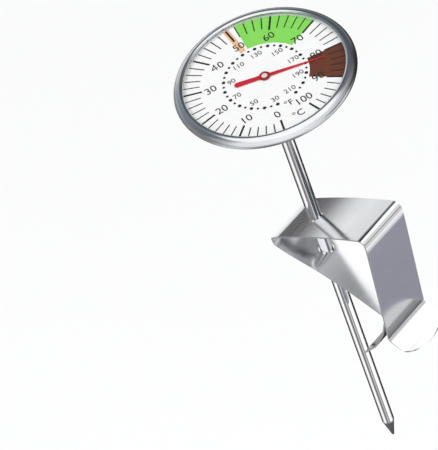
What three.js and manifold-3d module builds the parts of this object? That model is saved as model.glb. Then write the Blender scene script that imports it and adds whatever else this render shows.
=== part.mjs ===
// Clip-on dial thermometer: a round bimetal dial head on a thin probe stem,
// carried by a folded spring clip that grips the rim of a jug or pan.
// Millimetres, +Z up. The stem runs along Z, dial up and tip down.
// The origin is on the clip, in the middle of the inner face of its outer plate.
import * as THREE from 'three';
import { mergeVertices } from 'three/addons/utils/BufferGeometryUtils.js';
import Module from 'manifold-3d';

const wasm = await Module();
wasm.setup();

// ---------------------------------------------------------------- dimensions
// Heights are below the front crest of the bezel, along the stem.
const SEG = 56;            // sides of the large round pieces
const SEG_S = 24;          // sides of the small round pieces
const BEZEL_R = 25.3;      // largest radius of the bezel ring
const WINDOW_R = 22.4;     // clear radius of the window
const LENS_R = 24.0;
const LENS_TOP = -0.6;
const LENS_T = 0.5;
const DIAL_TOP = -1.8;
const DIAL_T = 0.4;
const DIAL_R = 23.5;
const CUP_R = 20.6;        // outer radius of the case cup
const CUP_FLOOR = -8.8;    // underside of the case cup
const STEM_R = 1.9;
const STEM_BORE = 1.6;
const STEM_TOP = -6.7;
const STEM_END = -155.0;   // lower end of the tube
const TIP_Z = -163.2;      // point of the probe
const HEX_AF = 11.0;       // calibration nut across flats
const HEX_TOP = -9.8;
const HEX_T = 4.2;
const SHAFT_R = 0.5;
const SHAFT_TOP = -1.27;
const SHAFT_END = -119.6;
const NEEDLE_TOP = -1.38;
const NEEDLE_T = 0.2;
const NEEDLE_TIP = 16.8;
const NEEDLE_TAIL = 8.5;
const HUB_R = 1.45;
const DEG_PER_C = 3.3032;  // dial degrees per degree Celsius
const DIR_50C = 159.4;     // direction of the 50 mark about +Z
const REST_C = 82.5;       // reading shown at rest
const COIL_R = 1.12;       // mean radius of the bimetal helix
const COIL_TOP = -121.2;
const COIL_END = -149.2;
const COIL_TURNS = 14;
const STRIP_W = 16.2;      // width of the clip strip
const STRIP_T = 0.5;
const STRIP_W_TONGUE = 14.2; // width of the tongue's free end
const HOLE_R = 2.25;       // stem holes of the clip
// Clip profile in X and Z, measured from the stem axis: point and bend radius.
const CLIP = [
  [33.2, -95.3, 0], [29.4, -94.4, 5], [24.55, -91.9, 1.4], [28.08913, -51.2, 22], [28.3, -45.9, 1.8],
  [-8.4, -65.1, 12], [-12.4, -67.9, 1.3], [-12.0, -70.5, 1.2], [2, -74.0, 20], [25.0, -82.3, 1.8],
  [21.4, -92.6, 16], [16.2, -101.2, 16], [10.6, -107.4, 0],
];
const GRIP_Z = -68.0;      // height of the origin on the outer plate

// ---------------------------------------------------------------- helpers
function toSolid(geo) {
  const g = geo.clone();
  g.deleteAttribute('normal');
  g.deleteAttribute('uv');
  const m = mergeVertices(g.index ? g.toNonIndexed() : g, 1e-4);
  return new wasm.Manifold(new wasm.Mesh({
    numProp: 3,
    vertProperties: new Float32Array(m.attributes.position.array),
    triVerts: new Uint32Array(m.index.array),
  }));
}
function fromSolid(s) {
  const m = s.getMesh();
  const g = new THREE.BufferGeometry();
  g.setAttribute('position', new THREE.BufferAttribute(new Float32Array(m.vertProperties), 3));
  g.setIndex(new THREE.BufferAttribute(new Uint32Array(m.triVerts), 1));
  g.computeVertexNormals();
  return g;
}
// A body turned about Z from [radius, z] points that run counter-clockwise in
// the half plane (outward, up), so that its faces point out.
function turned(points, seg = SEG) {
  const v = points.map(([r, z]) => new THREE.Vector2(r, z));
  let area = 0;
  for (let i = 0; i < v.length; i++) {
    const a = v[i], b = v[(i + 1) % v.length];
    area += a.x * b.y - b.x * a.y;
  }
  if (area < 0) v.reverse();
  const onAxis = v.some((p) => p.x === 0);
  if (onAxis) {
    while (!(v[0].x === 0 && v[v.length - 1].x === 0)) v.push(v.shift());
  } else v.push(v[0].clone());
  const g = new THREE.LatheGeometry(v, seg);
  g.rotateX(Math.PI / 2); // the lathe's Y becomes Z
  return g;
}
const ring = (r0, r1, z0, z1, seg = SEG_S) => turned([[r0, z0], [r1, z0], [r1, z1], [r0, z1]], seg);
const disc = (r, z0, z1, seg = SEG_S) => turned([[0, z0], [r, z0], [r, z1], [0, z1]], seg);
function prism(points, z0, z1) {
  const g = new THREE.ExtrudeGeometry(new THREE.Shape(points.map(([x, y]) => new THREE.Vector2(x, y))),
    { depth: z1 - z0, bevelEnabled: false, steps: 1 });
  g.translate(0, 0, z0);
  return g;
}
// A prism drawn in X and Z and running from y0 to y1.
function prismY(points, y0, y1) {
  const g = prism(points, 0, y1 - y0);
  g.rotateX(Math.PI / 2); // (x, y, depth) becomes (x, -depth, y)
  g.translate(0, y1, 0);
  return g;
}
function cylinder(r, z0, z1, seg = SEG_S) {
  const g = new THREE.CylinderGeometry(r, r, z1 - z0, seg);
  g.rotateX(Math.PI / 2);
  g.translate(0, 0, (z0 + z1) / 2);
  return g;
}
const material = (color, roughness, metalness, extra = {}) =>
  new THREE.MeshStandardMaterial({ color, roughness, metalness, ...extra });

const body = new THREE.Group();
function add(name, geometry, mat) {
  const mesh = new THREE.Mesh(geometry, mat);
  mesh.name = name;
  body.add(mesh);
  return mesh;
}

// ---------------------------------------------------------------- head
// Bezel: a rolled ring, its lip over the lens and its lower edge curled under
// the flange of the case.
add('bezel_ring', turned([
  [WINDOW_R, -0.55], [WINDOW_R, -0.34], [22.65, -0.1], [23.05, 0], [23.6, -0.08], [24.15, -0.32],
  [24.65, -0.68], [25.05, -1.18], [BEZEL_R, -1.8], [25.2, -2.4], [24.7, -2.85], [23.9, -3.2], [23.2, -3.38], [22.4, -3.4],
  [22.4, -2.95], [23.15, -2.9], [23.55, -2.75], [24.1, -2.45], [24.65, -2.1], [24.8, -1.75], [24.6, -1.3], [24.3, -0.87], [24.05, -0.57],
]), material(0xc3c4c8, 0.22, 1.0));

add('lens', disc(LENS_R, LENS_TOP - LENS_T, LENS_TOP, SEG),
  material(0xf4f8f8, 0.05, 0.0, { transparent: true, opacity: 0.35 }));
add('lens_gasket', ring(22.75, 23.9, -1.33, LENS_TOP - LENS_T - 0.04, SEG), material(0xd8d8d4, 0.8, 0.0));
add('spacer_ring', ring(22.5, 23.9, DIAL_TOP + 0.04, -1.37, SEG), material(0xe9e9e7, 0.5, 0.0));
add('dial_plate', ring(1.3, DIAL_R, DIAL_TOP - DIAL_T, DIAL_TOP, SEG), material(0xf4f4f2, 0.6, 0.0));

// Case: a pressed cup with a flange under the dial and a hole for the neck.
add('case_cup', turned([
  [23.05, -2.8], [21.0, -2.8], [20.7, -3.0], [CUP_R, -3.45], [CUP_R, -6.0], [20.3, -7.15], [19.6, -8.05],
  [18.6, -8.6], [17.4, CUP_FLOOR], [3.3, CUP_FLOOR],
  [3.3, -8.35], [17.3, -8.35], [18.35, -8.18], [19.2, -7.7], [19.83, -6.95], [20.12, -5.95], [20.12, -2.3], [23.05, -2.3],
]), material(0xb9babd, 0.3, 1.0));

// Neck: the hex nut carries the stem, its spigot passes the case floor, and a
// ring clips into a groove above a wave washer that lets the case turn stiffly.
{
  const hex = [];
  for (let i = 0; i < 6; i++) {
    const a = (i + 0.5) * Math.PI / 3;
    hex.push([HEX_AF / Math.sqrt(3) * Math.cos(a), HEX_AF / Math.sqrt(3) * Math.sin(a)]);
  }
  const block = toSolid(prism(hex, HEX_TOP - HEX_T, HEX_TOP));
  const spigot = toSolid(cylinder(2.9, HEX_TOP - 1, -6.4, 32));
  const bore = toSolid(cylinder(STEM_R + 0.12, HEX_TOP - HEX_T - 1, -5.5, 32));
  const groove = toSolid(ring(2.62, 3.4, -7.75, -7.2, 32));
  // chamfered corners on both faces of the hexagon
  const chamfer = toSolid(turned([[0, HEX_TOP - HEX_T - 0.01], [5.55, HEX_TOP - HEX_T - 0.01], [6.5, HEX_TOP - HEX_T + 0.55],
    [6.5, HEX_TOP - 0.55], [5.55, HEX_TOP + 0.01], [0, HEX_TOP + 0.01]], 36));
  add('calibration_nut', fromSolid(block.intersect(chamfer).add(spigot).subtract(bore).subtract(groove)),
    material(0xbfc0c3, 0.25, 1.0));
}
add('neck_seal', ring(3.2, 5.0, -9.65, -8.95, 32), material(0x2b2b2c, 0.85, 0.0));
add('wave_washer', turned([[3.25, -8.2], [4.2, -8.25], [5.3, -8.2], [5.3, -7.98], [4.2, -8.05], [3.25, -7.98]], 32),
  material(0xb0b1b4, 0.35, 1.0));
{
  // Split retaining ring.
  const full = toSolid(ring(2.72, 4.5, -7.68, -7.28, 32));
  const gap = toSolid(new THREE.BoxGeometry(4, 1.6, 2).translate(3.6, 0, -7.5));
  add('retaining_ring', fromSolid(full.subtract(gap)), material(0x9a9b9e, 0.35, 1.0));
}

// ---------------------------------------------------------------- stem
add('stem_tube', ring(STEM_BORE, STEM_R, STEM_END, STEM_TOP, 32), material(0xc6c7ca, 0.16, 1.0));
add('stem_tip', turned([
  [0, TIP_Z], [0.25, TIP_Z + 0.12], [0.38, TIP_Z + 0.4], [STEM_R, STEM_END - 0.35], [STEM_R, STEM_END - 0.05],
  [1.5, STEM_END - 0.05], [1.5, STEM_END + 3.2], [0, STEM_END + 3.2],
], 32), material(0xc6c7ca, 0.2, 1.0));
add('shaft_guide_upper', ring(SHAFT_R + 0.07, 1.5, -16.5, -13.5), material(0xb08d4a, 0.4, 1.0));
add('shaft_guide_middle', ring(SHAFT_R + 0.07, 1.5, -66.5, -64.0), material(0xb08d4a, 0.4, 1.0));
add('shaft_guide_lower', ring(SHAFT_R + 0.07, 1.5, -114.5, -112.0), material(0xb08d4a, 0.4, 1.0));
add('coil_anchor', disc(1.35, -151.7, COIL_END - 0.9), material(0xa9a9a6, 0.4, 1.0));
{
  // Bimetal helix: a flat strip wound along the stem.
  const pts = [];
  const n = COIL_TURNS * 12;
  for (let i = 0; i <= n; i++) {
    const a = i / 12 * 2 * Math.PI;
    pts.push(new THREE.Vector3(COIL_R * Math.cos(a), COIL_R * Math.sin(a), COIL_END + (COIL_TOP - COIL_END) * i / n));
  }
  const path = new THREE.CatmullRomCurve3(pts);
  const w = 0.26;
  const section = new THREE.Shape([new THREE.Vector2(-w, -w), new THREE.Vector2(w, -w), new THREE.Vector2(w, w), new THREE.Vector2(-w, w)]);
  add('bimetal_coil', new THREE.ExtrudeGeometry(section, { steps: n, extrudePath: path, bevelEnabled: false }),
    material(0xb59a6a, 0.45, 1.0));
}

// ---------------------------------------------------------------- pointer
add('pointer_shaft', disc(SHAFT_R, SHAFT_END, SHAFT_TOP, 16), material(0xc9c9cb, 0.3, 1.0));
add('coil_hub', ring(SHAFT_R + 0.1, 1.4, -120.6, -118.4), material(0xb08d4a, 0.4, 1.0));
const restAngle = (DIR_50C - DEG_PER_C * (REST_C - 50)) * Math.PI / 180;
{
  const s = new THREE.Shape();
  s.moveTo(NEEDLE_TIP, 0.1);
  s.lineTo(2.0, 0.55);
  s.lineTo(-NEEDLE_TAIL + 1.5, 0.62);
  s.lineTo(-NEEDLE_TAIL + 0.6, 0.6);
  s.lineTo(-NEEDLE_TAIL + 0.15, 0.36);
  s.lineTo(-NEEDLE_TAIL, 0);
  s.lineTo(-NEEDLE_TAIL + 0.15, -0.36);
  s.lineTo(-NEEDLE_TAIL + 0.6, -0.6);
  s.lineTo(-NEEDLE_TAIL + 1.5, -0.62);
  s.lineTo(2.0, -0.55);
  s.lineTo(NEEDLE_TIP, -0.1);
  const bar = toSolid(new THREE.ExtrudeGeometry(s, { depth: NEEDLE_T, bevelEnabled: false }).translate(0, 0, NEEDLE_TOP - NEEDLE_T));
  const eye = toSolid(cylinder(1.3, NEEDLE_TOP - NEEDLE_T, NEEDLE_TOP, SEG_S));
  const hole = toSolid(cylinder(1.0, NEEDLE_TOP - 1, NEEDLE_TOP + 1, SEG_S));
  const m = add('pointer_needle', fromSolid(bar.add(eye).subtract(hole)), material(0xc8142a, 0.45, 0.0));
  m.rotation.z = restAngle;
}
add('pointer_hub', turned([
  [SHAFT_R + 0.1, -1.74], [0.85, -1.74], [0.85, NEEDLE_TOP + 0.02], [HUB_R, NEEDLE_TOP + 0.02], [HUB_R, -1.26], [1.25, -1.2], [SHAFT_R + 0.1, -1.2],
]), material(0x9e1424, 0.4, 0.0));

// ---------------------------------------------------------------- clip
// Centreline of the folded strip with its bends, then offset both ways.
function roundedPath(points, step = Math.PI / 12) {
  const out = [];
  points.forEach(([x, z, r], i) => {
    const p = new THREE.Vector2(x, z);
    if (!r || i === 0 || i === points.length - 1) { out.push(p); return; }
    const a = new THREE.Vector2(points[i - 1][0], points[i - 1][1]).sub(p).normalize();
    const b = new THREE.Vector2(points[i + 1][0], points[i + 1][1]).sub(p).normalize();
    const half = Math.acos(THREE.MathUtils.clamp(a.dot(b), -1, 1)) / 2;
    const t = r / Math.tan(half);
    const start = p.clone().addScaledVector(a, t), end = p.clone().addScaledVector(b, t);
    const c = p.clone().addScaledVector(a.clone().add(b).normalize(), r / Math.sin(half));
    let a0 = Math.atan2(start.y - c.y, start.x - c.x);
    let da = Math.atan2(end.y - c.y, end.x - c.x) - a0;
    while (da > Math.PI) da -= 2 * Math.PI;
    while (da < -Math.PI) da += 2 * Math.PI;
    const n = Math.max(2, Math.ceil(Math.abs(da) / step));
    for (let k = 0; k <= n; k++) out.push(new THREE.Vector2(c.x + r * Math.cos(a0 + da * k / n), c.y + r * Math.sin(a0 + da * k / n)));
  });
  return out;
}
function stripOutline(path, t) {
  const left = [], right = [];
  path.forEach((p, i) => {
    const a = path[Math.max(0, i - 1)], b = path[Math.min(path.length - 1, i + 1)];
    const d0 = p.clone().sub(a), d1 = b.clone().sub(p);
    if (d0.length() > 0) d0.normalize();
    if (d1.length() > 0) d1.normalize();
    const d = d0.clone().add(d1).normalize();
    const ref = d1.length() > 0 ? d1 : d0;
    const k = t / 2 / Math.max(0.5, d.dot(ref));
    left.push([p.x - d.y * k, p.y + d.x * k]);
    right.push([p.x + d.y * k, p.y - d.x * k]);
  });
  return left.concat(right.reverse());
}
{
  const outline = stripOutline(roundedPath(CLIP), STRIP_T);
  let area = 0;
  outline.forEach((p, i) => { const q = outline[(i + 1) % outline.length]; area += p[0] * q[1] - q[0] * p[1]; });
  if (area < 0) outline.reverse();
  let clip = toSolid(prismY(outline, -STRIP_W / 2, STRIP_W / 2));
  // stem holes through the top plate and the tongue
  clip = clip.subtract(toSolid(cylinder(HOLE_R, -80, -55, 28)));
  // convex free end of the outer lip
  const lip = toSolid(new THREE.BoxGeometry(14, STRIP_W + 2, 8).translate(27.9 + 7, 0, -94.5));
  const oval = toSolid(cylinder(1, -100, -88, 48).scale(5.2, STRIP_W / 2 + 0.15, 1).translate(27.6, 0, 0));
  clip = clip.subtract(lip.subtract(oval));
  // the tongue narrows from the nose to its free end
  const region = [[-9.5, -69.2], [2, -71.6], [24.87, -80.2], [24.87, -86], [23.2, -94], [18, -112], [2, -112],
    [14, -100], [18, -90], [19, -84.5], [2, -77.5], [-9.5, -73.5]];
  const a = STRIP_W / 2, b = STRIP_W_TONGUE / 2;
  for (const s of [1, -1]) {
    const plan = [[-9.5, s * a], [14, s * b], [25, s * b], [25, s * (a + 1)], [-9.5, s * (a + 1)]];
    if (s < 0) plan.reverse();
    const wedge = toSolid(prism(plan, -113, -68)).intersect(toSolid(prismY(region, -STRIP_W, STRIP_W)));
    clip = clip.subtract(wedge);
  }
  add('clip_spring', fromSolid(clip), material(0xbcbdc2, 0.2, 1.0));
}

// ---------------------------------------------------------------- placing
// The origin moves from the stem axis to the inner face of the outer plate.
const [, , L, T] = CLIP;
const dir = new THREE.Vector2(T[0] - L[0], T[1] - L[1]).normalize();
const gx = L[0] + (GRIP_Z - L[1]) * dir.x / dir.y - STRIP_T / 2 / dir.y;
body.position.set(-gx, 0, -GRIP_Z);

const group = new THREE.Group();
group.add(body);
group.updateMatrixWorld(true);
export default group;
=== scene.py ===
import math
import bpy
import bmesh
import numpy as np
from mathutils import Matrix, Vector


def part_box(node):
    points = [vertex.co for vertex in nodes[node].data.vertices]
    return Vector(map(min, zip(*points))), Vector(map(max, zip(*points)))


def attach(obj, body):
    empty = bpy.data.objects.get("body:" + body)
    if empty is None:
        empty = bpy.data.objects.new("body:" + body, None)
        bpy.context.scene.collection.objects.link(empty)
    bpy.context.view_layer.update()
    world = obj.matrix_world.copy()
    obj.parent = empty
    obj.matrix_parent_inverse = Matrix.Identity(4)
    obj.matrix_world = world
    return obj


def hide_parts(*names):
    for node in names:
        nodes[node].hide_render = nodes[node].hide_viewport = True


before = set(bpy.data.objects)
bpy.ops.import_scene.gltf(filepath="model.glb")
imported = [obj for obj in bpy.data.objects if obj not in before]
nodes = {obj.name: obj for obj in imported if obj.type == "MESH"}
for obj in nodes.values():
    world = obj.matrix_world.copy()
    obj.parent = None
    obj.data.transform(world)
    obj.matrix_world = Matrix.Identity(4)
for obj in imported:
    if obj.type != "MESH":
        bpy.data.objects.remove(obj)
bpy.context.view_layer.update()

scene = bpy.context.scene

# ------------------------------------------------------------ places, from the frame
lo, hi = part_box("stem_tube")
X0 = (lo.x + hi.x) / 2
Y0 = (lo.y + hi.y) / 2
Z0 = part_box("bezel_ring")[1].z          # the bezel's crest
MM = 0.001
def P(x, y, z):
    """millimetres about the stem axis, below the bezel's crest, to the row frame"""
    return Vector((X0 + x * MM, Y0 + y * MM, Z0 + z * MM))

WINDOW_R = 22.4
DIAL_TOP = -1.8
DEG_PER_C = 3.3032
DIR_50C = 159.4
REST_C = 82.5
def direction(celsius):
    return math.radians(DIR_50C - DEG_PER_C * (celsius - 50))

# ------------------------------------------------------------ materials
def new_mat(name):
    m = bpy.data.materials.new(name)
    m.use_nodes = True
    nt = m.node_tree
    nt.nodes.clear()
    out = nt.nodes.new("ShaderNodeOutputMaterial")
    b = nt.nodes.new("ShaderNodeBsdfPrincipled")
    nt.links.new(b.outputs[0], out.inputs[0])
    return m, nt, b

def coords(nt, scale=(1, 1, 1)):
    t = nt.nodes.new("ShaderNodeTexCoord")
    mp = nt.nodes.new("ShaderNodeMapping")
    mp.inputs["Scale"].default_value = scale
    nt.links.new(t.outputs["Object"], mp.inputs["Vector"])
    return mp.outputs[0]

def noise(nt, vec, scale, detail=3.0, rough=0.55):
    n = nt.nodes.new("ShaderNodeTexNoise")
    n.inputs["Scale"].default_value = scale
    n.inputs["Detail"].default_value = detail
    n.inputs["Roughness"].default_value = rough
    nt.links.new(vec, n.inputs["Vector"])
    return n.outputs["Fac"]

def remap(nt, fac, a, b, lo=0.3, hi=0.7):
    r = nt.nodes.new("ShaderNodeMapRange")
    r.inputs["From Min"].default_value = lo
    r.inputs["From Max"].default_value = hi
    r.inputs["To Min"].default_value = a
    r.inputs["To Max"].default_value = b
    nt.links.new(fac, r.inputs["Value"])
    return r.outputs[0]

def mixed(nt, fac, c1, c2):
    x = nt.nodes.new("ShaderNodeMix")
    x.data_type = "RGBA"
    x.inputs[6].default_value = (*c1, 1)
    x.inputs[7].default_value = (*c2, 1)
    nt.links.new(fac, x.inputs[0])
    return x.outputs[2]

def bump(nt, b, fac, strength, distance):
    n = nt.nodes.new("ShaderNodeBump")
    n.inputs["Strength"].default_value = strength
    n.inputs["Distance"].default_value = distance
    nt.links.new(fac, n.inputs["Height"])
    nt.links.new(n.outputs[0], b.inputs["Normal"])

def metal(name, col, rough, spread=0.05, grain=(1, 1, 1), grain_scale=900.0, grain_depth=0.0, tint=0.03):
    """polished or brushed metal: cloudy tone, fine grain in the roughness and a shallow grain bump"""
    m, nt, b = new_mat(name)
    b.inputs["Metallic"].default_value = 1.0
    v = coords(nt)
    cloud = noise(nt, v, 90.0, 2.0)
    c1 = tuple(max(0.0, c - tint) for c in col)
    c2 = tuple(min(1.0, c + tint) for c in col)
    nt.links.new(mixed(nt, remap(nt, cloud, 0, 1), c1, c2), b.inputs["Base Color"])
    g = noise(nt, coords(nt, grain), grain_scale, 4.0, 0.6)
    nt.links.new(remap(nt, g, max(0.01, rough - spread), rough + spread), b.inputs["Roughness"])
    if grain_depth > 0:
        bump(nt, b, g, 0.35, grain_depth)
    return m

def turned_metal(name, col, rough, spread, rings=2600.0, depth=2e-6, tint=0.03):
    """metal with fine marks that run round the stem axis"""
    m, nt, b = new_mat(name)
    b.inputs["Metallic"].default_value = 1.0
    t = nt.nodes.new("ShaderNodeTexCoord")
    sub = nt.nodes.new("ShaderNodeVectorMath"); sub.operation = "SUBTRACT"
    sub.inputs[1].default_value = (X0, Y0, 0)
    nt.links.new(t.outputs["Object"], sub.inputs[0])
    sep = nt.nodes.new("ShaderNodeSeparateXYZ")
    nt.links.new(sub.outputs[0], sep.inputs[0])
    def mth(op, a, b2=None):
        n = nt.nodes.new("ShaderNodeMath"); n.operation = op
        for i, s in enumerate((a, b2)):
            if s is None: continue
            if isinstance(s, (int, float)): n.inputs[i].default_value = s
            else: nt.links.new(s, n.inputs[i])
        return n.outputs[0]
    r = mth("SQRT", mth("ADD", mth("MULTIPLY", sep.outputs[0], sep.outputs[0]), mth("MULTIPLY", sep.outputs[1], sep.outputs[1])))
    ang = mth("ARCTAN2", sep.outputs[1], sep.outputs[0])
    com = nt.nodes.new("ShaderNodeCombineXYZ")
    nt.links.new(mth("MULTIPLY", r, rings), com.inputs[0])
    nt.links.new(mth("MULTIPLY", sep.outputs[2], rings), com.inputs[1])
    nt.links.new(mth("MULTIPLY", ang, 1.2), com.inputs[2])
    g = noise(nt, com.outputs[0], 1.0, 3.0, 0.6)
    cloud = noise(nt, coords(nt), 120.0, 2.0)
    c1 = tuple(max(0.0, c - tint) for c in col)
    c2 = tuple(min(1.0, c + tint) for c in col)
    nt.links.new(mixed(nt, remap(nt, cloud, 0, 1), c1, c2), b.inputs["Base Color"])
    nt.links.new(remap(nt, g, max(0.01, rough - spread), rough + spread), b.inputs["Roughness"])
    if depth > 0:
        bump(nt, b, g, 0.3, depth)
    return m

def coat(name, col, rough, var=0.03, spec=0.5, scale=300.0, depth=0.0, tint=None):
    """paint, print, rubber or plastic"""
    m, nt, b = new_mat(name)
    n = noise(nt, coords(nt), scale, 3.0)
    c1 = tuple(max(0.0, c * (1 - var)) for c in col)
    c2 = tint or tuple(min(1.0, c * (1 + var) + 0.002) for c in col)
    nt.links.new(mixed(nt, remap(nt, n, 0, 1), c1, c2), b.inputs["Base Color"])
    nt.links.new(remap(nt, n, max(0.02, rough - 0.05), min(1.0, rough + 0.05)), b.inputs["Roughness"])
    b.inputs["Specular IOR Level"].default_value = spec
    if depth > 0:
        bump(nt, b, n, 0.3, depth)
    return m

M = {}
M["bezel"] = turned_metal("bezel_steel", (0.74, 0.75, 0.78), 0.13, 0.05, rings=2200.0, depth=1.5e-6)
M["case"] = turned_metal("case_steel", (0.66, 0.66, 0.68), 0.26, 0.07, rings=1800.0, depth=3e-6)
M["stem"] = metal("stem_steel", (0.90, 0.90, 0.92), 0.06, 0.025, grain=(1, 1, 0.02), grain_scale=2600.0, grain_depth=5e-7, tint=0.015)
M["tip"] = turned_metal("tip_steel", (0.76, 0.76, 0.78), 0.14, 0.05, rings=2600.0, depth=2e-6)
M["clip"] = metal("clip_steel", (0.84, 0.845, 0.865), 0.14, 0.03, grain=(1, 0.04, 1), grain_scale=1500.0, grain_depth=6e-7, tint=0.012)
M["nut"] = turned_metal("nut_steel", (0.70, 0.70, 0.72), 0.22, 0.06, rings=1500.0, depth=4e-6)
M["spring"] = metal("spring_steel", (0.55, 0.55, 0.57), 0.32, 0.06, grain_scale=1500.0, grain_depth=1e-6)
M["brass"] = metal("guide_brass", (0.70, 0.54, 0.28), 0.28, 0.06, grain_scale=1500.0, grain_depth=1e-6)
M["bimetal"] = metal("bimetal", (0.62, 0.52, 0.36), 0.35, 0.08, grain_scale=1200.0, grain_depth=1e-6)
M["shaft"] = metal("shaft_steel", (0.86, 0.86, 0.87), 0.3, 0.05, grain_scale=2500.0, grain_depth=5e-7)
M["rivet"] = coat("rivet_face", (0.74, 0.66, 0.62), 0.4, 0.05, 0.6, 900.0, 5e-7)
M["gasket"] = coat("gasket_rubber", (0.62, 0.63, 0.64), 0.7, 0.06, 0.4, 800.0, 4e-6)
M["spacer"] = coat("spacer_plastic", (0.72, 0.73, 0.75), 0.45, 0.03, 0.5, 400.0, 1e-6)
M["seal"] = coat("seal_rubber", (0.03, 0.03, 0.032), 0.75, 0.2, 0.4, 900.0, 5e-6)
M["dial"] = coat("dial_paint", (0.93, 0.93, 0.925), 0.5, 0.008, 0.35, 260.0, 4e-7)
M["black"] = coat("print_black", (0.022, 0.022, 0.025), 0.5, 0.25, 0.3, 900.0)
M["grey"] = coat("print_grey", (0.075, 0.075, 0.08), 0.5, 0.12, 0.3, 900.0)
M["green"] = coat("print_green", (0.235, 0.69, 0.105), 0.5, 0.03, 0.3, 500.0)
M["brown"] = coat("print_brown", (0.135, 0.040, 0.020), 0.5, 0.08, 0.3, 500.0)
M["needle"] = coat("pointer_red", (0.58, 0.012, 0.035), 0.38, 0.06, 0.5, 500.0, 1e-6)
M["hub"] = coat("pointer_dark_red", (0.33, 0.010, 0.022), 0.35, 0.08, 0.5, 600.0, 1e-6)

# hatched orange mark: fine slanted lines on a pale ground
def hatch(name, c1, c2):
    m, nt, b = new_mat(name)
    w = nt.nodes.new("ShaderNodeTexWave")
    w.inputs["Scale"].default_value = 360.0
    w.inputs["Distortion"].default_value = 0.3
    nt.links.new(coords(nt, (1.0, 0.8, 1.0)), w.inputs["Vector"])
    nt.links.new(mixed(nt, remap(nt, w.outputs["Fac"], 0, 1, 0.3, 0.7), c1, c2), b.inputs["Base Color"])
    b.inputs["Roughness"].default_value = 0.5
    return m
M["orange"] = hatch("print_orange", (0.80, 0.40, 0.20), (0.85, 0.60, 0.42))

# window: nearly clear, a light sheen only
m, nt, b = new_mat("lens_glass")
b.inputs["Base Color"].default_value = (0.02, 0.02, 0.022, 1)
b.inputs["Alpha"].default_value = 0.04
n = noise(nt, coords(nt), 60.0, 1.0)
nt.links.new(remap(nt, n, 0.02, 0.05), b.inputs["Roughness"])
M["lens"] = m

# ------------------------------------------------------------ mesh helpers
def finish_mesh(bm, name, mat, angle=0.6, body=None, replaces=(), flat=False):
    bmesh.ops.remove_doubles(bm, verts=bm.verts, dist=1e-8)
    bmesh.ops.recalc_face_normals(bm, faces=bm.faces)
    for f in bm.faces:
        f.smooth = not flat
    for e in bm.edges:
        if len(e.link_faces) == 2 and e.calc_face_angle(0) > angle:
            e.smooth = False
    me = bpy.data.meshes.new(name)
    bm.to_mesh(me); bm.free()
    o = bpy.data.objects.new(name, me)
    scene.collection.objects.link(o)
    me.materials.append(mat)
    if body:
        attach(o, body)
    if replaces:
        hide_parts(*replaces)
    return o

def smooth_closed(points, cuts=3, keep=()):
    """corner-cutting of a closed profile, sharp corners in keep stay"""
    pts = [(Vector((p[0], p[1])), i in keep) for i, p in enumerate(points)]
    for _ in range(cuts):
        out = []
        n = len(pts)
        for i in range(n):
            p, k = pts[i]
            a, b2 = pts[i - 1][0], pts[(i + 1) % n][0]
            if k:
                out.append((p, True))
            else:
                out.append((p.lerp(a, 0.25), False))
                out.append((p.lerp(b2, 0.25), False))
        pts = out
    return [(p.x, p.y) for p, _ in pts]

def lathe(points, seg, closed=True):
    """body turned about the stem axis from (radius, height) points in millimetres"""
    bm = bmesh.new()
    rows = []
    for k in range(seg):
        a = 2 * math.pi * k / seg
        row = []
        for r, z in points:
            row.append(bm.verts.new(P(r * math.cos(a), r * math.sin(a), z)))
        rows.append(row)
    n = len(points)
    for k in range(seg):
        A, B = rows[k], rows[(k + 1) % seg]
        for i in range(n if closed else n - 1):
            j = (i + 1) % n
            if points[i][0] == 0 and points[j][0] == 0:
                continue
            try:
                if points[i][0] == 0:
                    bm.faces.new((A[i], A[j], B[j]))
                elif points[j][0] == 0:
                    bm.faces.new((A[i], A[j], B[i]))
                else:
                    bm.faces.new((A[i], A[j], B[j], B[i]))
            except ValueError:
                pass
    return bm

# ------------------------------------------------------------ head
bezel_profile = [
    (WINDOW_R, -0.55), (WINDOW_R, -0.34), (22.65, -0.1), (23.05, 0), (23.6, -0.08), (24.15, -0.32),
    (24.65, -0.68), (25.05, -1.18), (25.3, -1.8), (25.2, -2.4), (24.7, -2.85), (23.9, -3.2), (23.2, -3.38), (22.4, -3.4),
    (22.4, -2.95), (23.15, -2.9), (23.55, -2.75), (24.1, -2.45), (24.65, -2.1), (24.8, -1.75), (24.6, -1.3), (24.3, -0.87), (24.05, -0.57)]
finish_mesh(lathe(smooth_closed(bezel_profile, 3, keep=(0,)), 288), "bezel_ring_fine", M["bezel"], 0.7, "head", ["bezel_ring"])
case_profile = [
    (23.05, -2.8), (21.0, -2.8), (20.7, -3.0), (20.6, -3.45), (20.6, -6.0), (20.3, -7.15), (19.6, -8.05),
    (18.6, -8.6), (17.4, -8.8), (3.3, -8.8), (3.3, -8.35), (17.3, -8.35), (18.35, -8.18), (19.2, -7.7),
    (19.83, -6.95), (20.12, -5.95), (20.12, -2.3), (23.05, -2.3)]
finish_mesh(lathe(smooth_closed(case_profile, 2, keep=(0, 9, 10, 17)), 192), "case_cup_fine", M["case"], 0.6, "head", ["case_cup"])
lens_profile = [(0, -1.1), (23.85, -1.1), (24.0, -1.0), (24.0, -0.7), (23.9, -0.6), (0, -0.6)]
finish_mesh(lathe(lens_profile, 192), "lens_fine", M["lens"], 0.5, "head", ["lens"])
dial_profile = [(1.3, DIAL_TOP - 0.4), (23.45, DIAL_TOP - 0.4), (23.5, DIAL_TOP - 0.35), (23.5, DIAL_TOP - 0.03), (23.47, DIAL_TOP), (1.33, DIAL_TOP), (1.3, DIAL_TOP - 0.03)]
finish_mesh(lathe(dial_profile, 192), "dial_plate_fine", M["dial"], 0.5, "head", ["dial_plate"])

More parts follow.
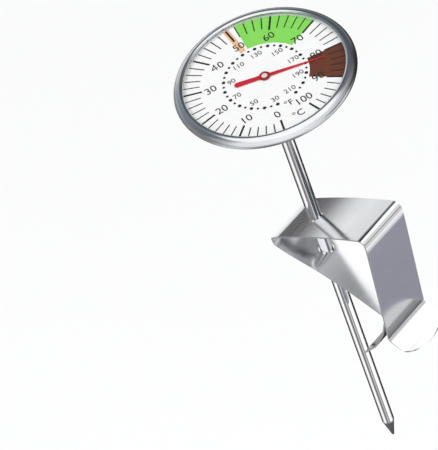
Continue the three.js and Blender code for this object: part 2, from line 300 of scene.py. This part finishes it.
# printed scale: thin layers on the dial plate
def layer(bm, outline, z0, z1):
    """closed plate from an outline in millimetres"""
    bot = [bm.verts.new(P(x, y, z0)) for x, y in outline]
    top = [bm.verts.new(P(x, y, z1)) for x, y in outline]
    bm.faces.new(top)
    bm.faces.new(bot[::-1])
    n = len(outline)
    for i in range(n):
        j = (i + 1) % n
        bm.faces.new((bot[i], bot[j], top[j], top[i]))

def bar(bm, c, r0, r1, width, z0, z1):
    a = direction(c)
    u = Vector((math.cos(a), math.sin(a))); v = Vector((-u.y, u.x)) * width / 2
    pts = [u * r0 - v, u * r1 - v, u * r1 + v, u * r0 + v]
    layer(bm, [(p.x, p.y) for p in pts], z0, z1)

def sector(bm, c0, c1, r0, r1, z0, z1):
    n = max(6, int(abs(c1 - c0) * 2))
    out = [(r1 * math.cos(direction(c0 + (c1 - c0) * i / n)), r1 * math.sin(direction(c0 + (c1 - c0) * i / n))) for i in range(n + 1)]
    inn = [(r0 * math.cos(direction(c1 + (c0 - c1) * i / n)), r0 * math.sin(direction(c1 + (c0 - c1) * i / n))) for i in range(n + 1)]
    quads_o = out; quads_i = inn[::-1]
    for i in range(n):
        layer(bm, [quads_i[i], quads_o[i], quads_o[i + 1], quads_i[i + 1]], z0, z1)

def dot(bm, r, a, rad, z0, z1, seg=20):
    cx, cy = r * math.cos(a), r * math.sin(a)
    layer(bm, [(cx + rad * math.cos(2 * math.pi * k / seg), cy + rad * math.sin(2 * math.pi * k / seg)) for k in range(seg)], z0, z1)

UP = direction(50)                                   # the print's upward direction
def text(bm, s, r, a, height, z0, z1, bold=0.0, up=UP, dx=0.0, dy=0.0):
    """generic numerals and unit signs, upright about the 50 mark"""
    cu = bpy.data.curves.new("t", "FONT")
    cu.body = s
    cu.size = height / 0.72
    cu.align_x = "CENTER"; cu.align_y = "CENTER"
    cu.offset = bold
    cu.extrude = (z1 - z0) / 2
    cu.resolution_u = 6
    to = bpy.data.objects.new("t", cu)
    scene.collection.objects.link(to)
    bpy.context.view_layer.update()
    me = bpy.data.meshes.new_from_object(to.evaluated_get(bpy.context.evaluated_depsgraph_get()))
    co = np.array([v.co for v in me.vertices]).reshape(-1, 3)
    cx, cy = (co[:, 0].min() + co[:, 0].max()) / 2, (co[:, 1].min() + co[:, 1].max()) / 2
    rot = up - math.pi / 2
    for v in me.vertices:
        x, y, z = v.co.x - cx + dx, v.co.y - cy + dy, v.co.z
        X = r * math.cos(a) + x * math.cos(rot) - y * math.sin(rot)
        Y = r * math.sin(a) + x * math.sin(rot) + y * math.cos(rot)
        v.co = P(X, Y, (z0 + z1) / 2 + z)
    bm.from_mesh(me)
    bpy.data.objects.remove(to); bpy.data.curves.remove(cu); bpy.data.meshes.remove(me)

def strokes(bm, lines, width, r, a, z0, z1, up=UP):
    """a glyph of straight strokes, in the same local axes as text"""
    rot = up - math.pi / 2
    for (x0, y0), (x1, y1) in lines:
        d = Vector((x1 - x0, y1 - y0)).normalized() * width / 2
        n = Vector((-d.y, d.x))
        quad = [Vector((x0, y0)) - d - n, Vector((x1, y1)) + d - n, Vector((x1, y1)) + d + n, Vector((x0, y0)) - d + n]
        layer(bm, [(r * math.cos(a) + q.x * math.cos(rot) - q.y * math.sin(rot), r * math.sin(a) + q.x * math.sin(rot) + q.y * math.cos(rot)) for q in quad], z0, z1)

RF = 11.4                                            # radius of the ring of dots
R_OUT = 22.9
zb0, zb1, zt0, zt1 = DIAL_TOP + 0.002, DIAL_TOP + 0.012, DIAL_TOP + 0.016, DIAL_TOP + 0.03
bm = bmesh.new(); sector(bm, 52, 70, 12.5, R_OUT, zb0, zb1)
finish_mesh(bm, "print_green_zone", M["green"], 0.5, "head", flat=True)
bm = bmesh.new(); sector(bm, 80, 90, 12.3, R_OUT, zb0, zb1)
finish_mesh(bm, "print_brown_zone", M["brown"], 0.5, "head", flat=True)
bm = bmesh.new(); bar(bm, 50, 12.2, R_OUT, 1.75, zb0, zb1)
finish_mesh(bm, "print_orange_mark", M["orange"], 0.5, "head", flat=True)
bm = bmesh.new()
for c in range(0, 101, 2):
    if c % 10:
        bar(bm, c, 18.0, R_OUT, 0.33, zt0, zt1)
    else:
        bar(bm, c, 17.35, R_OUT, 0.58, zt0, zt1)
for k, f in enumerate(range(30, 211, 5)):
    a = direction((f - 32) / 1.8)
    dot(bm, RF, a, 0.52 if f % 10 == 0 else 0.36, zt0, zt1)
for c in range(0, 101, 10):
    if c == 40:
        # the counter of this numeral needs open strokes
        text(bm, "0", 14.95, direction(c), 2.45, zt0, zt1, 0.015, dx=1.02)
        for k, seg in enumerate([((-0.55, -1.08), (-0.55, 1.08)), ((-0.55, 1.08), (-1.72, -0.42)), ((-1.72, -0.42), (-0.12, -0.42))]):
            strokes(bm, [seg], 0.27, 14.95, direction(c), zt0 + 0.0012 * k, zt1 + 0.0012 * k)
        continue
    text(bm, str(c), 14.95, direction(c + (0.4 if c in (0,) else -0.6 if c == 100 else 0)), 2.45, zt0, zt1, 0.015)
text(bm, "°C", 17.9, direction(104.0), 2.2, zt0, zt1, 0.02)
finish_mesh(bm, "print_scale", M["black"], 0.5, "head", flat=True)
bm = bmesh.new()
for f in range(30, 211, 20):
    text(bm, str(f), 9.2, direction((f - 32) / 1.8), 1.65, zt0, zt1, 0.02)
text(bm, "°F", 12.8, direction(104.0), 2.1, zt0, zt1, 0.03)
finish_mesh(bm, "print_inner_scale", M["grey"], 0.5, "head", flat=True)

# ------------------------------------------------------------ stem
tube = [(1.6, -155.0), (1.85, -155.0), (1.9, -154.95), (1.9, -6.75), (1.85, -6.7), (1.6, -6.7)]
# extra rings keep the long tube's shading even
tube = tube[:3] + [(1.9, -154.95 + 148.2 * k / 24) for k in range(1, 24)] + tube[3:]
finish_mesh(lathe(tube, 128), "stem_tube_fine", M["stem"], 0.6, "stem", ["stem_tube"])
tip = [(0, -163.2), (0.14, -163.15), (0.26, -163.05), (0.38, -162.8), (1.13, -159.1), (1.84, -155.6), (1.9, -155.35), (1.9, -155.05), (1.5, -155.05), (1.5, -151.8), (0, -151.8)]
finish_mesh(lathe(tip, 128), "stem_tip_fine", M["tip"], 0.7, "stem", ["stem_tip"])

# ------------------------------------------------------------ pointer
REST = direction(REST_C)
bm = bmesh.new()
outline = [(16.8, -0.09), (16.8, 0.09), (9, 0.34), (2.0, 0.58), (-6.5, 0.80), (-7.6, 0.81)]
outline += [(-7.7 - 0.8 * math.sin(t), 0.8 * math.cos(t)) for t in np.linspace(0.15, math.pi - 0.15, 11)]
outline += [(-7.6, -0.81), (-6.5, -0.80), (2.0, -0.58), (9, -0.34)]
cs, sn = math.cos(REST), math.sin(REST)
layer(bm, [(x * cs - y * sn, x * sn + y * cs) for x, y in outline], -1.58, -1.385)
n_obj = finish_mesh(bm, "pointer_needle_fine", M["needle"], 0.6, "pointer", ["pointer_needle"])
bv = n_obj.modifiers.new("edge", "BEVEL"); bv.width = 0.00004; bv.segments = 2; bv.limit_method = "ANGLE"
hub = [(0.55, -1.58), (1.0, -1.58), (1.0, -1.37), (1.5, -1.365), (1.55, -1.31), (1.5, -1.25), (1.4, -1.215), (0.98, -1.2), (0.86, -1.24), (0.55, -1.25)]
finish_mesh(lathe(hub, 96), "pointer_hub_fine", M["hub"], 0.7, "pointer", ["pointer_hub"])
# pale riveted end of the shaft in the hub
cap = [(0, -1.3), (0.84, -1.3), (0.84, -1.245), (0.72, -1.225), (0, -1.215)]
finish_mesh(lathe(cap, 64), "shaft_end_cap", M["rivet"], 0.7, "pointer")

# ------------------------------------------------------------ clip
CLIP = [
    (33.2, -95.3, 0), (29.4, -94.4, 5), (24.55, -91.9, 1.4), (28.08913, -51.2, 22), (28.3, -45.9, 1.8),
    (-8.4, -65.1, 12), (-12.4, -67.9, 1.3), (-12.0, -70.5, 1.2), (2, -74.0, 20), (25.0, -82.3, 1.8),
    (21.4, -92.6, 16), (16.2, -101.2, 16), (10.6, -107.4, 0)]
BOW = {3: -0.25, 4: -0.6}     # slight belly of the flat stretches, in mm: index of the stretch's first corner

def rounded(points, step=math.radians(5)):
    out, kind = [], []
    for i, (x, z, r) in enumerate(points):
        p = Vector((x, z))
        if r == 0:
            out.append(p); kind.append(i); continue
        a = (Vector(points[i - 1][:2]) - p).normalized()
        b2 = (Vector(points[i + 1][:2]) - p).normalized()
        half = math.acos(max(-1, min(1, a.dot(b2)))) / 2
        t = r / math.tan(half)
        c = p + (a + b2).normalized() * (r / math.sin(half))
        s, e = p + a * t, p + b2 * t
        a0 = math.atan2(s.y - c.y, s.x - c.x)
        da = math.atan2(e.y - c.y, e.x - c.x) - a0
        while da > math.pi: da -= 2 * math.pi
        while da < -math.pi: da += 2 * math.pi
        n = max(3, int(math.ceil(abs(da) / step)))
        for k in range(n + 1):
            out.append(c + Vector((math.cos(a0 + da * k / n), math.sin(a0 + da * k / n))) * r)
            kind.append(i)
    # split the straight stretches and give them their belly
    res = []
    for k in range(len(out) - 1):
        res.append(out[k])
        L = (out[k + 1] - out[k]).length
        if L > 4:
            m = 24
            d = (out[k + 1] - out[k]).normalized()
            nrm = Vector((-d.y, d.x))
            bow = BOW.get(kind[k], 0.0)
            for q in range(1, m):
                f = q / m
                res.append(out[k].lerp(out[k + 1], f) + nrm * (bow * 4 * f * (1 - f)))
    res.append(out[-1])
    return res

path = rounded(CLIP)
T = 0.5
left, right = [], []
for i, p in enumerate(path):
    a, b2 = path[max(0, i - 1)], path[min(len(path) - 1, i + 1)]
    d = (b2 - a).normalized()
    left.append(p + Vector((-d.y, d.x)) * T / 2)
    right.append(p - Vector((-d.y, d.x)) * T / 2)
W = 16.2
def strip():
    bm = bmesh.new()
    rows = []
    ys = [-W / 2, W / 2]
    ring = left + right[::-1]
    for y in ys:
        rows.append([bm.verts.new(P(q.x, y, q.y)) for q in ring])
    n = len(ring)
    for i in range(n):
        j = (i + 1) % n
        bm.faces.new((rows[0][i], rows[0][j], rows[1][j], rows[1][i]))
    m = len(path)
    for row in rows:
        for i in range(m - 1):
            bm.faces.new((row[i], row[i + 1], row[n - 2 - i], row[n - 1 - i]))
    bmesh.ops.recalc_face_normals(bm, faces=bm.faces)
    return bm

def temp_object(bm, name):
    me = bpy.data.meshes.new(name)
    bmesh.ops.recalc_face_normals(bm, faces=bm.faces)
    bm.to_mesh(me); bm.free()
    o = bpy.data.objects.new(name, me)
    scene.collection.objects.link(o)
    return o

def prism_z(outline, z0, z1):
    bm = bmesh.new(); layer(bm, outline, z0, z1); return bm

def prism_y(outline, y0, y1):
    bm = bmesh.new()
    A = [bm.verts.new(P(x, y0, z)) for x, z in outline]
    B = [bm.verts.new(P(x, y1, z)) for x, z in outline]
    bm.faces.new(A); bm.faces.new(B[::-1])
    n = len(outline)
    for i in range(n):
        j = (i + 1) % n
        bm.faces.new((A[i], A[j], B[j], B[i]))
    return bm

def boolean(o, cutter, op):
    md = o.modifiers.new("b", "BOOLEAN")
    md.operation = op; md.solver = "EXACT"; md.object = cutter
    bpy.context.view_layer.update()
    me = bpy.data.meshes.new_from_object(o.evaluated_get(bpy.context.evaluated_depsgraph_get()))
    o.modifiers.clear()
    o.data = me
    bpy.data.objects.remove(cutter)

clip = temp_object(strip(), "clip_work")
circle = [(2.25 * math.cos(2 * math.pi * k / 64), 2.25 * math.sin(2 * math.pi * k / 64)) for k in range(64)]
boolean(clip, temp_object(prism_z(circle, -80, -55), "c"), "DIFFERENCE")
# rounded free end of the outer lip: everything past an oval is cut away
oval = [(27.6 + 5.2 * math.cos(t), (W / 2 + 0.15) * math.sin(t)) for t in np.linspace(-math.pi / 2 + 0.03, math.pi / 2 - 0.03, 41)]
cut = [(27.9, -9.2)] + [(max(27.9, x), y) for x, y in oval] + [(27.9, 9.2), (42, 9.2), (42, -9.2)]
boolean(clip, temp_object(prism_z(cut, -98.5, -90.5), "c"), "DIFFERENCE")
# the tongue narrows from the nose to its free end
region = [(-9.5, -69.2), (2, -71.6), (24.87, -80.2), (24.87, -86), (23.2, -94), (18, -112), (2, -112),
          (14, -100), (18, -90), (19, -84.5), (2, -77.5), (-9.5, -73.5)]
for s in (1, -1):
    a, b2 = 8.1, 7.1
    plan = [(-9.5, s * a)] + [(-9.5 + 23.5 * f, s * (a + (b2 - a) * (3 * f * f - 2 * f ** 3))) for f in np.linspace(0.1, 1, 10)] + [(25, s * b2), (25, s * 9.5), (-9.5, s * 9.5)]
    w1 = temp_object(prism_z(plan, -113, -68), "w1")
    w2 = temp_object(prism_y(region, -16, 16), "w2")
    boolean(w1, w2, "INTERSECT")
    boolean(clip, w1, "DIFFERENCE")
bm = bmesh.new(); bm.from_mesh(clip.data)
bpy.data.objects.remove(clip)
c_obj = finish_mesh(bm, "clip_spring_fine", M["clip"], 0.55, "clip", ["clip_spring"])
bv = c_obj.modifiers.new("edge", "BEVEL"); bv.width = 0.00007; bv.segments = 2; bv.limit_method = "ANGLE"; bv.angle_limit = 0.9

# ------------------------------------------------------------ finishes of the nodes that stay
KEEP = {
    "lens_gasket": "gasket", "spacer_ring": "spacer", "calibration_nut": "nut", "neck_seal": "seal",
    "wave_washer": "spring", "retaining_ring": "spring", "shaft_guide_upper": "brass", "shaft_guide_middle": "brass",
    "shaft_guide_lower": "brass", "coil_hub": "brass", "coil_anchor": "spring", "bimetal_coil": "bimetal", "pointer_shaft": "shaft"}
for n, k in KEEP.items():
    o = nodes[n]
    o.data.materials.clear()
    o.data.materials.append(M[k])

# ------------------------------------------------------------ floor, light, camera
bm = bmesh.new()
s = 6.0
z = P(0, 0, -163.2).z - 0.30
vs = [bm.verts.new((x, y, z)) for x, y in ((-s, -s), (s, -s), (s, s), (-s, s))]
bm.faces.new(vs)
me = bpy.data.meshes.new("floor"); bm.to_mesh(me); bm.free()
floor = bpy.data.objects.new("floor", me)
scene.collection.objects.link(floor)
me.materials.append(coat("floor_pale", (0.90, 0.90, 0.90), 0.9, 0.005, 0.0, 3.0))
floor.visible_glossy = False

world = bpy.data.worlds.new("studio")
scene.world = world
world.use_nodes = True
nt = world.node_tree
nt.nodes.clear()
out = nt.nodes.new("ShaderNodeOutputWorld")
bg = nt.nodes.new("ShaderNodeBackground")
nt.links.new(bg.outputs[0], out.inputs[0])
tc = nt.nodes.new("ShaderNodeTexCoord")
sep = nt.nodes.new("ShaderNodeSeparateXYZ")
nt.links.new(tc.outputs["Generated"], sep.inputs[0])
def mth(op, a, b2=None, c=None, clamp=False):
    n = nt.nodes.new("ShaderNodeMath"); n.operation = op; n.use_clamp = clamp
    for i, s2 in enumerate((a, b2, c)):
        if s2 is None: continue
        if isinstance(s2, (int, float)): n.inputs[i].default_value = s2
        else: nt.links.new(s2, n.inputs[i])
    return n.outputs[0]
az = mth("DIVIDE", mth("ADD", mth("ARCTAN2", sep.outputs[1], sep.outputs[0]), math.pi), 2 * math.pi)
def ramp(fac, stops, interp="EASE"):
    r = nt.nodes.new("ShaderNodeValToRGB")
    r.color_ramp.interpolation = interp
    el = r.color_ramp.elements
    while len(el) > 1: el.remove(el[-1])
    first = True
    for pos, v in stops:
        col = (v, v, v, 1) if isinstance(v, (int, float)) else (*v, 1)
        if first:
            el[0].position = pos; el[0].color = col; first = False
        else:
            e = el.new(pos); e.color = col
    nt.links.new(fac, r.inputs[0])
    return r.outputs[0]
def A(deg):
    return ((deg + 180) % 360) / 360
# studio surroundings: rings of soft panels, each with its own tones by compass direction
V = (0.295, 0.295, 0.355)
TEAL = (0.075, 0.12, 0.125)
BLUE = (0.42, 0.47, 0.52)
LEVELS = [
    (-0.955, [(0.0, 0.10), (A(-60), 0.14), (A(60), 0.08), (0.9999, 0.10)]),
    (-0.87, [(A(-180), 0.04), (A(-120), 0.30), (A(-60), 0.35), (A(0), 0.45), (A(25), 0.40), (A(38), V), (A(58), V), (A(80), 0.10), (A(120), 0.06), (0.9999, 0.04)]),
    (-0.803, [(A(-180), 0.03), (A(-152), 0.03), (A(-140), 0.5), (A(-90), 0.9), (A(-70), 0.28), (A(-45), 0.4), (A(-25), 0.2), (A(0), 0.8), (A(22), 0.7), (A(32), V), (A(55), V), (A(75), 0.10), (A(95), 0.03), (0.9999, 0.03)]),
    (-0.768, [(A(-180), 0.01), (A(-153), 0.015), (A(-146), 0.35), (A(-134), 0.45), (A(-122), 1.0), (A(-94), 1.2), (A(-80), 0.55), (A(-70), 0.16), (A(-52), 0.22), (A(-40), 0.70), (A(-31), 0.6), (A(-23), 0.08), (A(-14), 0.55), (A(0), 1.25),
              (A(26), 1.3), (A(46), 1.0), (A(58), 0.40), (A(68), 0.06), (A(88), 0.01), (A(150), 0.01), (0.9999, 0.01)]),
    (-0.735, [(A(-180), 0.01), (A(-153), 0.015), (A(-146), 0.35), (A(-134), 0.45), (A(-122), 1.0), (A(-94), 1.2), (A(-80), 0.55), (A(-70), 0.16), (A(-52), 0.22), (A(-40), 0.70), (A(-31), 0.6), (A(-23), 0.08), (A(-14), 0.55), (A(0), 1.25),
              (A(26), 1.3), (A(46), 1.0), (A(58), 0.40), (A(68), 0.06), (A(88), 0.01), (A(150), 0.01), (0.9999, 0.01)]),
    (-0.65, [(A(-180), 0.06), (A(-150), 0.2), (A(-126), 0.5), (A(-100), 0.8), (A(-60), 0.25), (A(-33), 0.3), (A(0), 0.9), (A(20), 1.0), (A(45), 1.0), (A(58), 0.3), (A(70), 0.03), (A(118), 0.02), (A(150), 0.08), (0.9999, 0.06)]),
    (-0.585, [(A(-180), 0.3), (A(-150), 0.22), (A(-126), 0.4), (A(-100), 0.7), (A(-60), 0.20), (A(-33), 0.22), (A(0), 0.7), (A(16), 0.25), (A(40), 0.25), (A(58), 0.2), (A(70), 0.03), (A(118), 0.03), (A(145), 0.3), (A(165), 0.35), (0.9999, 0.3)]),
    (-0.50, [(A(-180), 0.2), (A(-150), 0.25), (A(-126), 0.3), (A(-100), 0.7), (A(-60), 0.20), (A(-33), 0.22), (A(0), 0.7), (A(16), 0.28), (A(40), 0.28), (A(58), 0.2), (A(72), 0.03), (A(118), 0.03), (A(140), 0.4), (A(153), 1.1), (A(168), 1.1), (0.9999, 0.2)]),
    (-0.44, [(A(-180), 0.22), (A(-150), 0.25), (A(-126), 0.3), (A(-100), 0.7), (A(-60), 0.24), (A(-33), 0.26), (A(0), 0.8), (A(45), 0.8), (A(60), 0.3), (A(72), 0.03), (A(118), 0.03), (A(140), 0.4), (A(153), 0.9), (A(168), 0.9), (0.9999, 0.22)]),
    (-0.29, [(A(-180), 0.3), (A(-150), 0.25), (A(-126), 0.3), (A(-100), 0.7), (A(-60), 0.40), (A(-33), 0.5), (A(0), 0.9), (A(45), 0.9), (A(60), 0.2), (A(72), 0.03), (A(118), 0.04), (A(140), 0.4), (A(151), 1.15), (A(165), 1.15), (0.9999, 0.2)]),
    (-0.205, [(A(-180), 0.3), (A(-150), 0.25), (A(-126), 0.3), (A(-100), 0.7), (A(-60), 0.55), (A(-33), 0.75), (A(0), 0.9), (A(45), 0.9), (A(60), 0.2), (A(72), 0.03), (A(118), 0.04), (A(140), 0.10), (A(170), 0.12), (0.9999, 0.2)]),
    (-0.105, [(A(-180), 0.22), (A(-150), 0.28), (A(-119), 0.28), (A(-90), 0.6), (A(-33), 0.9), (A(10), 0.85), (A(42), 0.8), (A(60), 0.08), (A(90), 0.04), (A(104), 0.14), (A(120), 0.16), (A(145), 0.08), (A(170), 0.08), (0.9999, 0.22)]),
    (0.02, [(A(-180), BLUE), (A(-150), 0.35), (A(-119), 0.26), (A(-100), 0.5), (A(-82), 0.95), (A(-33), 1.0), (A(0), 0.9), (A(12), 0.6), (A(17), 0.12), (A(31), 0.12), (A(39), 0.35), (A(58), 0.05), (A(90), 0.04), (A(104), 0.18), (A(125), 0.25), (A(145), 0.95), (A(170), 1.05), (0.9999, BLUE)]),
    (0.085, [(A(-180), BLUE), (A(-150), 0.3), (A(-119), 0.25), (A(-100), 0.5), (A(-82), 1.0), (A(-33), 1.0), (A(4), 0.9), (A(15), 0.10), (A(32), 0.10), (A(40), 0.3), (A(58), 0.05), (A(90), 0.04), (A(104), 0.18), (A(125), 0.2), (A(145), 0.7), (A(168), 1.0), (0.9999, BLUE)]),
    (0.145, [(A(-180), BLUE), (A(-150), 0.3), (A(-119), 0.25), (A(-100), 0.5), (A(-82), 1.0), (A(-33), 1.05), (A(4), 0.8), (A(15), 0.04), (A(38), 0.03), (A(60), 0.05), (A(90), 0.04), (A(104), 0.18), (A(125), 0.18), (A(150), 0.6), (A(168), 0.95), (0.9999, BLUE)]),
    (0.21, [(A(-180), BLUE), (A(-150), 0.26), (A(-119), 0.24), (A(-92), 0.95), (A(-33), 1.1), (A(6), 1.0), (A(30), 0.8), (A(60), 0.2), (A(90), 0.06), (A(104), 0.16), (A(125), 0.16), (A(146), 0.4), (A(158), 0.9), (0.9999, BLUE)]),
    (0.45, [(A(-180), (0.24, 0.28, 0.33)), (A(-138), 0.2), (A(-112), 0.5), (A(-92), 1.0), (A(-33), 1.1), (A(20), 0.8), (A(60), 0.3), (A(95), (0.09, 0.075, 0.10)), (A(125), TEAL), (A(147), TEAL), (A(157), 0.7), (0.9999, (0.24, 0.28, 0.33))]),
    (0.76, [(A(-180), (0.22, 0.25, 0.29)), (A(-138), (0.17, 0.17, 0.21)), (A(-112), 0.5), (A(-92), 1.0), (A(-33), 1.1), (A(40), 0.9), (A(90), (0.20, 0.17, 0.21)), (A(130), (0.09, 0.125, 0.13)), (A(150), (0.12, 0.16, 0.17)), (0.9999, (0.22, 0.25, 0.29))]),
    (0.84, [(A(-180), (0.22, 0.25, 0.29)), (A(-138), (0.17, 0.17, 0.21)), (A(-112), 0.5), (A(-92), 1.0), (A(-33), 1.1), (A(15), 1.1), (A(35), 1.25), (A(68), 1.25), (A(90), (0.20, 0.17, 0.21)), (A(130), (0.09, 0.125, 0.13)), (A(150), (0.12, 0.16, 0.17)), (0.9999, (0.22, 0.25, 0.29))]),
    (0.885, [(A(-180), 1.2), (A(-33), 1.3), (A(100), 1.25), (0.9999, 1.2)]),
]
def smooth(zlo, zhi):
    r = nt.nodes.new("ShaderNodeMapRange"); r.interpolation_type = "SMOOTHSTEP"
    r.inputs["From Min"].default_value = zlo; r.inputs["From Max"].default_value = zhi
    nt.links.new(sep.outputs[2], r.inputs["Value"])
    return r.outputs[0]
def mixw(f, a, b2):
    x = nt.nodes.new("ShaderNodeMix"); x.data_type = "RGBA"
    nt.links.new(f, x.inputs[0]); nt.links.new(a, x.inputs[6]); nt.links.new(b2, x.inputs[7])
    return x.outputs[2]
col = ramp(az, LEVELS[0][1])
for (z0, _), (z1, stops) in zip(LEVELS, LEVELS[1:]):
    col = mixw(smooth(z0, z1), col, ramp(az, stops))
# what the camera sees straight past the floor is plain and pale
lp = nt.nodes.new("ShaderNodeLightPath")
pale = nt.nodes.new("ShaderNodeRGB"); pale.outputs[0].default_value = (0.93, 0.93, 0.94, 1)
col = mixw(lp.outputs["Is Camera Ray"], col, pale.outputs[0])
nt.links.new(col, bg.inputs[0])
bg.inputs[1].default_value = 1.0

def area(name, loc, target, size, energy, glossy=False):
    l = bpy.data.lights.new(name, "AREA")
    l.shape = "DISK"; l.size = size; l.energy = energy
    o = bpy.data.objects.new(name, l)
    o.location = loc
    d = (Vector(target) - Vector(loc)).normalized()
    o.rotation_euler = d.to_track_quat("-Z", "Y").to_euler()
    scene.collection.objects.link(o)
    o.visible_glossy = glossy
    return o
area("key", (-0.5, -1.0, 1.9), (0, 0, -0.1), 1.2, 18.7)
area("fill", (1.3, 0.6, 1.6), (0, 0, -0.1), 1.4, 10.3)

# camera: fitted to the view, in the stem's frame, millimetres
R = np.array([[0.7317513267766566, 0.6323872850235697, -0.2542170676825624],
              [0.36297113525005725, -0.6772679102548589, -0.6399688529251248],
              [-0.5768812275814551, 0.3760245995670148, -0.7251300226749536]])
C = (466.30193551, -334.88688393, 555.41794387)
cam = bpy.data.cameras.new("camera")
cam.sensor_fit = "HORIZONTAL"
cam.sensor_width = 36.0
cam.lens = 3000.0 / 438.0 * 36.0
cam.clip_start = 0.01; cam.clip_end = 20.0
co = bpy.data.objects.new("camera", cam)
scene.collection.objects.link(co)
mw = Matrix.Identity(4)
for i in range(3):
    mw[i][0] = R[0][i]; mw[i][1] = -R[1][i]; mw[i][2] = -R[2][i]
loc = P(*C)
mw[0][3], mw[1][3], mw[2][3] = loc
co.matrix_world = mw
scene.camera = co

scene.view_settings.view_transform = "Standard"
scene.view_settings.look = "None"
scene.view_settings.exposure = 0.0
